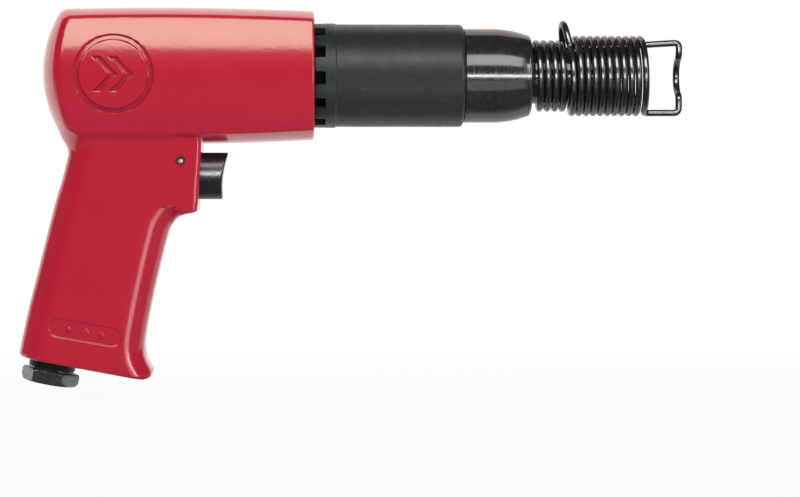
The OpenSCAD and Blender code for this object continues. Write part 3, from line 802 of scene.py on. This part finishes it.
# The retainer is one wire. The coils' radii are to the middle of the wire.
WIRE_R = 1.26
SMALL_R, LARGE_R = 12.45, 14.15
LARGE_PITCH = 2.74
SMALL_TURNS, LARGE_TURNS = 4.25, 10.5
TANG_ANGLE, TANG_H, TANG_LEAN = 32, 7.4, 1.6
TANG_X0, TANG_X1 = -11.9, -10.5
BAIL_X = cad_box("retainer_spring")[1][0] - 1.2
BAIL_Z, BAIL_INNER_Z, SADDLE_R = 14.1, 11.7, 7


def on_coil(x, r, angle):
    """A point at an angle from the top, in degrees, turning towards -Y."""
    t = math.radians(angle)
    return (x, -r * math.sin(t), r * math.cos(t))


def turns(a0, a1, place, step=5):
    """Points on a coil between two angles."""
    return [on_coil(*place(a), a) for a in np.linspace(a0, a1, int(abs(a1 - a0) / step) + 1)]


def rounded(points, reach, n=6):
    """The points with each inner corner replaced by a curve."""
    p = [np.array(q, float) for q in points]
    out = [p[0]]
    for a, b, c in zip(p, p[1:], p[2:]):
        u = b + reach * (a - b) / np.linalg.norm(a - b)
        v = b + reach * (c - b) / np.linalg.norm(c - b)
        out += [(1 - t) ** 2 * u + 2 * t * (1 - t) * b + t * t * v for t in np.linspace(0, 1, n)]
    return [tuple(q) for q in out + [p[-1]]]


def retainer_path():
    """The small coil, the tang, the large coil, and the bail with its saddle and free end."""
    end = 360 * LARGE_TURNS
    front = TANG_X1 + LARGE_PITCH * (end - TANG_ANGLE) / 360
    small = turns(-TANG_ANGLE - 360 * SMALL_TURNS, -TANG_ANGLE,
                  lambda a: (TANG_X0 + (a + TANG_ANGLE) * SMALL_PITCH / 360, SMALL_R))

    def hairpin(a):
        t = (a / TANG_ANGLE + 1) / 2
        rise = math.sin(math.pi * t)
        return (TANG_X0 + (TANG_X1 - TANG_X0) * t - TANG_LEAN * rise,
                SMALL_R + TANG_H * rise**1.2)

    def large(a):
        grow = smooth((a - TANG_ANGLE) / 130)
        return (TANG_X1 + (a - TANG_ANGLE) * LARGE_PITCH / 360,
                SMALL_R + (LARGE_R - SMALL_R) * grow)

    tang = turns(-TANG_ANGLE, TANG_ANGLE, hairpin, 2.5)
    coil = turns(TANG_ANGLE, end - 26, large)
    lower = rounded([on_coil(front - 0.1, LARGE_R, end - 20), (front + 0.4, 0, -BAIL_Z),
                     (BAIL_X, 0, -BAIL_Z), (BAIL_X, 0, -SADDLE_R - 0.6),
                     (BAIL_X, 2.4, -SADDLE_R + 0.2)], 2)
    saddle = [(BAIL_X, SADDLE_R * math.cos(t), SADDLE_R * math.sin(t))
              for t in np.radians(np.linspace(-60, 60, 19))]
    upper = rounded([(BAIL_X, 2.4, SADDLE_R - 0.2), (BAIL_X, 0, SADDLE_R + 0.6),
                     (BAIL_X, 0, BAIL_INNER_Z + 1.1), (front + 1, 0, BAIL_INNER_Z + 0.3),
                     (front - 4, 0, BAIL_INNER_Z - 0.2)], 2)
    return small[:-1] + tang[:-1] + coil + lower + saddle + upper


def wire(name, path, r, material):
    """A round wire along a path, with rounded ends."""
    sides = 16
    p = np.array(path, float)
    keep = np.r_[True, np.linalg.norm(np.diff(p, axis=0), axis=1) > 0.02]
    p = p[keep]
    ahead = np.gradient(p, axis=0)
    ahead /= np.linalg.norm(ahead, axis=1, keepdims=True)
    side = np.array([1.0, 0, 0])
    ring = np.radians(np.arange(sides) * 360 / sides)
    rows = []
    # Each end closes over in rings: how far along, and how wide, in radii.
    first_rings = [(-0.95, 0.3), (-0.7, 0.72), (-0.3, 0.95), (0, 1)]
    last_rings = [(-along, wide) for along, wide in first_rings[::-1]]
    for k, (q, t) in enumerate(zip(p, ahead)):
        side = side - (side @ t) * t
        side /= np.linalg.norm(side)
        up = np.cross(t, side)
        around = np.outer(np.cos(ring), side) + np.outer(np.sin(ring), up)
        rings = {0: first_rings, len(p) - 1: last_rings}.get(k, [(0, 1)])
        rows += [q + r * (along * t + wide * around) for along, wide in rings]
    points = np.concatenate(rows)
    quads = loop_quads(len(rows), sides)
    j = np.arange(sides // 2 - 1)
    first = np.stack([sides - 1 - j, sides - 2 - j, j + 1, j], 1)
    last = first[:, ::-1] + len(points) - sides
    return mesh_object(name, points, np.concatenate([quads, first, last]), material, 50)


retainer = wire("retainer_wire", retainer_path(), WIRE_R, MATERIALS["black_wire"])
stand_for(retainer, "retainer_spring")

# The throttle spring shortens by the trigger's travel.
SPRING_WIRE_R, SPRING_TURNS, TRAVEL = 0.4, 5, 4.0
lo, hi = cad_box("throttle_spring")
spring_r = (hi[2] - lo[2]) / 2 - SPRING_WIRE_R
share = np.linspace(0, 1, 24 * SPRING_TURNS + 1)
turned = 2 * math.pi * SPRING_TURNS * share
spring_path = np.stack([mix(lo[0] + SPRING_WIRE_R, hi[0] - SPRING_WIRE_R, share),
                        -spring_r * np.sin(turned), THROTTLE_Z + spring_r * np.cos(turned)], 1)
spring = wire("throttle_coil", spring_path, SPRING_WIRE_R, MATERIALS["bright_steel"])
stand_for(spring, "throttle_spring")
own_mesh(spring)


# ---------------------------------------------------------------- trigger and inlet

TRIGGER_FRONT, TRIGGER_REAR, TRIGGER_RAKE, DISH = -141.2, -163.5, 1.75, 2.8
SLOT_HALF = 1.55


def trigger_walls(p):
    """Bulged sides, a finger dish in front and the pin's slot."""
    x, y, z = p.T
    down = np.clip(0.5 - (z - THROTTLE_Z) / 13.8, -0.15, 1.15)
    front = x - TRIGGER_FRONT + TRIGGER_RAKE * down + DISH * down * (1 - down)
    body = round_and(trigger_section(p, 0), front, 0.9)
    slot_x = np.maximum(PIN_X - SLOT_HALF - x, x - PIN_X - TRAVEL - 1.6)
    slot = np.maximum(np.abs(z - PIN_Z) - SLOT_HALF, slot_x)
    return [np.maximum(body, TRIGGER_REAR - x), -slot]


# The inlet's hexagon across its flats is 3/4 inch. Heights are along the grip, from its face.
HEX_HALF, HEX_T, HEX_TURN = 19.05 / 2, 5.0, -2.4
NECK_R, NECK_END = 8.5, HEX_T + 0.9
THREAD_R, THREAD_END = 7.9, 22
AIR_R, SEAT_HEIGHT, THREADED_R, STRAINER_R = 4.6, 13, 5.7, 5.4


def inlet_walls(p):
    """A hexagon with chamfered corners, a neck, a threaded shank and the stepped air way."""
    q = p - INLET
    h, u, y = q @ UP_GRIP, q @ np.array([UP_GRIP[2], 0, -UP_GRIP[0]]), q[:, 1]
    off = length(u, y)
    corner = HEX_HALF / math.cos(math.radians(30))
    flats = np.radians(HEX_TURN + 30 + 60 * np.arange(6))
    nut = np.max([u * math.cos(a) + y * math.sin(a) - HEX_HALF for a in flats], 0)
    nut = round_and(nut, (off - corner + 1.2 - 0.88 * h) / 1.33, 0.3)
    nut = round_and(nut, (off - corner - 2.8 + 0.66 * h) / 1.2, 0.3)
    nut = round_and(nut, np.maximum(-h, h - HEX_T), 0.3)
    neck = np.maximum(off - NECK_R, np.maximum(1 - h, h - NECK_END))
    shank = np.maximum(off - THREAD_R, np.maximum(1 - h, h - THREAD_END))
    return [np.minimum(nut, np.minimum(neck, shank)),
            -np.maximum(off - THREADED_R, h - SEAT_HEIGHT), AIR_R - off,
            -np.maximum(off - STRAINER_R, SEAT_HEIGHT + 1 - h)]


def sculpt_node(name, node, walls, cell):
    """Sculpts a piece inside its CAD node's box and shows it in the node's place."""
    lo, hi = cad_box(node)
    obj = sculpt(name, walls, lo - 0.5, hi + 0.5, cell, MATERIALS[SLOT_OF[node]], 30)
    return stand_for(obj, node)


trigger = sculpt_node("trigger_button", "trigger", trigger_walls, 0.35)
inlet = sculpt_node("inlet_hexagon", "inlet_bushing", inlet_walls, 0.3)


# ---------------------------------------------------------------- studio and camera


def plane(name, centre, size, turn, material):
    """A flat sheet of the studio, width and depth before it is turned."""
    mesh = bpy.data.meshes.new(name)
    w, h = size[0] / 2, size[1] / 2
    mesh.from_pydata([(-w, -h, 0), (w, -h, 0), (w, h, 0), (-w, h, 0)], [], [(0, 1, 2, 3)])
    obj = bpy.data.objects.new(name, mesh)
    obj.location = centre
    obj.rotation_euler = turn
    mesh.materials.append(material)
    bpy.context.scene.collection.objects.link(obj)
    return obj


def glow(name, color, strength):
    """A material that only gives light."""
    mat = bpy.data.materials.new(name)
    mat.use_nodes = True
    tree = mat.node_tree
    tree.nodes.clear()
    emit = tree.nodes.new("ShaderNodeEmission")
    emit.inputs["Color"].default_value = color
    emit.inputs["Strength"].default_value = strength
    out = tree.nodes.new("ShaderNodeOutputMaterial")
    tree.links.new(emit.outputs[0], out.inputs["Surface"])
    return mat


def softbox(name, target, direction, distance, size, radiance, color=(1, 1, 1)):
    """A lit panel that faces the target from a direction; lengths in metres."""
    light = bpy.data.lights.new(name, "AREA")
    light.color = color
    light.shape = "RECTANGLE"
    light.size, light.size_y = size
    light.energy = radiance * math.pi * size[0] * size[1]
    obj = bpy.data.objects.new(name, light)
    d = np.array(direction, float)
    d /= np.linalg.norm(d)
    obj.location = np.array(target) + distance * d
    obj.rotation_euler = Vector(d).to_track_quat("Z", "Y").to_euler()
    bpy.context.scene.collection.objects.link(obj)
    return obj


# From here on, in metres.
CENTRE, NOSE, GRIP_FOOT = (-0.11, 0, -0.02), (-0.03, 0, -0.0265), (-0.21, 0, -0.11)
FLOOR_Z = box_before[0][2] - 0.0005

# The camera sees a white world. Everything else sees a dim one.
world = bpy.data.worlds.new("studio")
world.use_nodes = True
sky = world.node_tree
sky_white, sky_path = sky.nodes["Background"], sky.nodes.new("ShaderNodeLightPath")
sky_dark, sky_swap = sky.nodes.new("ShaderNodeBackground"), sky.nodes.new("ShaderNodeMixShader")
sky_white.inputs["Color"].default_value = (1, 1, 1, 1)
sky_dark.inputs["Strength"].default_value = 0.06
sky.links.new(sky_path.outputs["Is Camera Ray"], sky_swap.inputs["Fac"])
sky.links.new(sky_dark.outputs[0], sky_swap.inputs[1])
sky.links.new(sky_white.outputs[0], sky_swap.inputs[2])
sky.links.new(sky_swap.outputs[0], sky.nodes["World Output"].inputs["Surface"])
bpy.context.scene.world = world


def aimed(elevation, azimuth=0.0):
    """A direction from the tool: azimuth 0 is the camera's side, positive is towards +X."""
    e, a = math.radians(elevation), math.radians(azimuth)
    return (math.sin(a) * math.cos(e), -math.cos(a) * math.cos(e), math.sin(e))


def only_for(light, objects):
    """A light that lights only some objects."""
    group = bpy.data.collections.new(light.name + "_receivers")
    for obj in objects:
        group.objects.link(obj)
    light.light_linking.receiver_collection = group


# A white card behind the tool, seen only as a reflection in its top, back and edges.
backdrop = plane("backdrop", (-0.22, 0.25, 0.13), (0.68, 0.75), (math.radians(90), 0, 0),
                 glow("backdrop_white", (1, 0.9, 0.86, 1), 1.1))
backdrop.visible_camera = False

# The painted housing has a key light of its own, slightly green, which keeps its red deep.
others = [o for o in bpy.data.objects if o.type == "MESH" and o is not housing]
key = softbox("key", CENTRE, aimed(38.5, 2), 0.9, (1.3, 0.42), 4.3)
only_for(key, others)
key_red = softbox("key_red", CENTRE, aimed(40.5, -6), 0.9, (1.0, 0.48), 6.2, (0.9, 1.0, 0.79))
only_for(key_red, [housing])
softbox("strip_right", CENTRE, aimed(2, 52), 0.9, (0.12, 0.8), 10.0)
fill = softbox("fill", CENTRE, aimed(3), 1.7, (2.2, 1.6), 0.42)
fill.visible_glossy = False

# Soft light on the housing's turned edges: its crown, its back and its front.
for name, direction, radiance in (("top_fill", aimed(96), 1.6),
                                  ("rear_fill", aimed(5, -102), 1.2),
                                  ("front_fill", aimed(0, 70), 0.5)):
    edge_fill = softbox(name, CENTRE, direction, 0.9, (1.2, 0.6), radiance)
    edge_fill.visible_glossy = False
    only_for(edge_fill, [housing])
for side in (-118, 118):
    hexagon_light = softbox(f"hexagon_{side}", GRIP_FOOT, aimed(8, side), 0.5, (0.3, 0.3), 1.6)
    only_for(hexagon_light, [inlet])

# Lights that show only as reflections, each in a few pieces.
crease = softbox("crease_strip", (-0.172, -0.016, -0.072), (0.72, -0.64, -0.25), 0.065,
                 (0.028, 0.1), 0.6)
crease.data.spread = math.radians(90)
only_for(crease, [housing])
glint = softbox("glint", NOSE, aimed(0, 10), 1.0, (1.9, 0.08), 19.0)
only_for(glint, [barrel])
sparkle = softbox("sparkle", NOSE, aimed(0), 1.0, (1.0, 0.2), 16.0)
only_for(sparkle, [retainer, trigger])
key_wire = softbox("key_wire", CENTRE, aimed(38), 0.95, (0.9, 0.4), 10.0)
only_for(key_wire, [retainer])
low_card = softbox("low_card", (-0.03, 0, 0), aimed(-32), 0.2, (0.3, 0.14), 0.75)
only_for(low_card, [barrel, sleeve, retainer])
for light in (crease, glint, sparkle, key_wire, low_card):
    light.visible_diffuse = False


def floor_paper():
    """Pale paper, clear from below, that glows. In reflections its glow is bright behind the tool
    and in a patch beside the inlet, dim in front; it lights the tool with an even glow.
    """
    m = Material("floor_paper", (0.86, 0.86, 0.86, 1), 0.8)
    m.bump(m.noise(400, 3), 0.02)
    split = m.node("ShaderNodeSeparateXYZ")
    m.link(m.node("ShaderNodeNewGeometry").outputs["Position"], split.inputs[0])
    path = m.node("ShaderNodeLightPath")

    def glowing(strength):
        n = m.node("ShaderNodeEmission")
        if isinstance(strength, float):
            n.inputs["Strength"].default_value = strength
        else:
            m.link(strength, n.inputs["Strength"])
        return n.outputs[0]

    def swap(factor, a, b):
        n = m.node("ShaderNodeMixShader")
        m.link(factor, n.inputs["Fac"])
        m.link(a, n.inputs[1])
        m.link(b, n.inputs[2])
        return n.outputs[0]

    # Painted reflections: the floor's glow as seen in reflections, bright behind the tool and in a
    # patch beside the inlet.
    behind = m.ramp(split.outputs["Y"], 0.0, 0.035, 0.08, 0.75)
    inlet_side = m.node("ShaderNodeMath", operation="MULTIPLY")
    m.link(m.ramp(split.outputs["Y"], -0.007, -0.004), inlet_side.inputs[0])
    m.link(m.ramp(split.outputs["X"], -0.18, -0.184), inlet_side.inputs[1])
    lit = m.node("ShaderNodeMath", operation="MAXIMUM")
    m.link(behind, lit.inputs[0])
    m.link(inlet_side.outputs[0], lit.inputs[1])
    reflected = glowing(lit.outputs[0])
    bounced = swap(path.outputs["Is Glossy Ray"], glowing(1.15), reflected)
    seen = swap(m.ramp(split.outputs["Y"], 0.02, 0.2, 0.95, 1.0), m.bsdf.outputs[0], glowing(1.0))
    upper = swap(path.outputs["Is Camera Ray"], bounced, seen)
    below = m.node("ShaderNodeNewGeometry").outputs["Backfacing"]
    clear = m.node("ShaderNodeBsdfTransparent").outputs[0]
    m.link(swap(below, upper, clear), m.tree.nodes["Material Output"].inputs["Surface"])
    return m.mat


plane("floor", (-0.1, -0.4, FLOOR_Z), (3.0, 1.3), (0, 0, 0), floor_paper())

# The camera stands at EYE (x, z), this far in front of the tool's middle plane, and looks at
# AIM (x, z) in that plane, where the picture is FRAME_WIDTH wide.
DISTANCE = 0.95
FRAME_WIDTH = 0.3058
EYE = (-0.120, -0.028)
AIM = (-0.0752, -0.0660)
SENSOR_WIDTH = 36
camera = bpy.data.cameras.new("camera")
camera_object = bpy.data.objects.new("camera", camera)
bpy.context.scene.collection.objects.link(camera_object)
camera_object.location = (EYE[0], -DISTANCE, EYE[1])
sight = Vector((AIM[0] - EYE[0], DISTANCE, AIM[1] - EYE[1]))
camera_object.rotation_euler = sight.to_track_quat("-Z", "Y").to_euler()
camera.sensor_fit = "HORIZONTAL"
camera.sensor_width = SENSOR_WIDTH
camera.lens = SENSOR_WIDTH * DISTANCE / FRAME_WIDTH
camera.clip_start = 0.01
bpy.context.scene.camera = camera_object
bpy.context.scene.view_settings.view_transform = "Standard"
